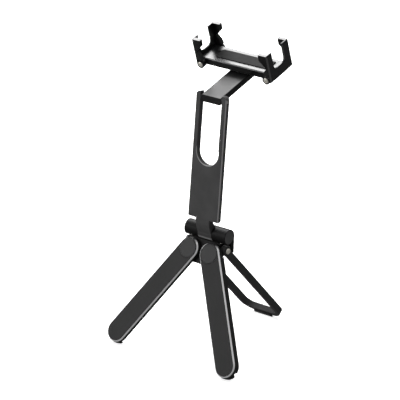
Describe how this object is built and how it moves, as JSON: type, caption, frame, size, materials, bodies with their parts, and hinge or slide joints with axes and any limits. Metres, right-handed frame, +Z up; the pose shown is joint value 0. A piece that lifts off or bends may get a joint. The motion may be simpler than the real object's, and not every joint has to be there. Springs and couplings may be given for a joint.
{
  "type": "folding phone stand",
  "caption": "Folding tripod stand with two flat front legs, a U-shaped rear leg, a slotted upright, a tilting arm and a sprung swivelling phone clamp.",
  "frame": {"origin": "centre of the whole object's box, on the surface it stands on", "axes": "+Z up, X along the barrel hinge, -Y the front, where the two flat legs are"},
  "size_m": [0.147, 0.1474, 0.2842],
  "materials": {
    "body_black": "black anodised, satin",
    "leg_black": "black anodised, satin, bright chamfer",
    "cap_black": "black anodised, satin",
    "upright_black": "dark anodised, satin",
    "arm_black": "black anodised, satin",
    "clamp_black": "black anodised, semi-gloss",
    "steel": "plain",
    "screw_nickel": "nickel plated",
    "rubber_black": "matt",
    "polymer_black": "matt"
  },
  "bodies": {
    "base": {"base": "body_black", "barrel_axle": "steel", "left_end_cap": "cap_black", "right_end_cap": "cap_black", "axle_grub_screws": "steel", "left_pivot_screw": "steel", "right_pivot_screw": "steel", "rear_hinge_screws": "screw_nickel"},
    "left_leg": {"left_leg": "leg_black", "left_leg_cap": "cap_black", "left_foot_pad": "rubber_black"},
    "right_leg": {"right_leg": "leg_black", "right_leg_cap": "cap_black", "right_foot_pad": "rubber_black"},
    "rear_leg": {"rear_leg": "leg_black", "rear_foot_pad": "rubber_black"},
    "upright": {"upright": "upright_black", "arm_pin": "steel", "left_pin_washer": "polymer_black", "right_pin_washer": "polymer_black"},
    "arm": {"arm": "arm_black", "swivel_washer": "polymer_black"},
    "clamp": {"clamp_body": "clamp_black", "swivel_bolt": "steel", "clamp_cover": "polymer_black", "cover_screws": "steel", "seat_pad": "rubber_black", "left_jaw": "clamp_black", "left_jaw_screws": "screw_nickel", "left_jaw_pads": "rubber_black"},
    "slider": {"slide_block": "clamp_black", "guide_rods": "steel", "right_jaw": "clamp_black", "right_jaw_screws": "screw_nickel", "right_jaw_pads": "rubber_black"}
  },
  "joints": [
    {"name": "left_leg_splay", "type": "hinge", "parent": "base", "child": "left_leg", "pos_m": [-0.01205, -0.02658, 0.093], "axis": [0, 0.8926, -0.4509], "range_deg": [-29.3, 0]},
    {"name": "right_leg_splay", "type": "hinge", "parent": "base", "child": "right_leg", "pos_m": [0.01205, -0.02658, 0.093], "axis": [0, -0.8926, 0.4509], "range_deg": [-29.3, 0]},
    {"name": "rear_leg_fold", "type": "hinge", "parent": "base", "child": "rear_leg", "pos_m": [0, -0.01544, 0.09547], "axis": [1, 0, 0], "range_deg": [-70, 0]},
    {"name": "upright_tilt", "type": "hinge", "parent": "base", "child": "upright", "pos_m": [0, -0.01319, 0.10797], "axis": [1, 0, 0], "range_deg": [-90, 30]},
    {"name": "arm_tilt", "type": "hinge", "parent": "upright", "child": "arm", "pos_m": [0, -0.00835, 0.23326], "axis": [1, 0, 0], "range_deg": [-113, 66]},
    {"name": "clamp_swivel", "type": "hinge", "parent": "arm", "child": "clamp", "pos_m": [0, 0.03861, 0.24762], "axis": [0, -0.2924, 0.9563], "continuous": true},
    {"name": "clamp_slide", "type": "slide", "parent": "clamp", "child": "slider", "axis": [1, 0, 0], "range_m": [0, 0.028], "stiffness_N_per_m": 150, "springref_m": -0.02}
  ]
}
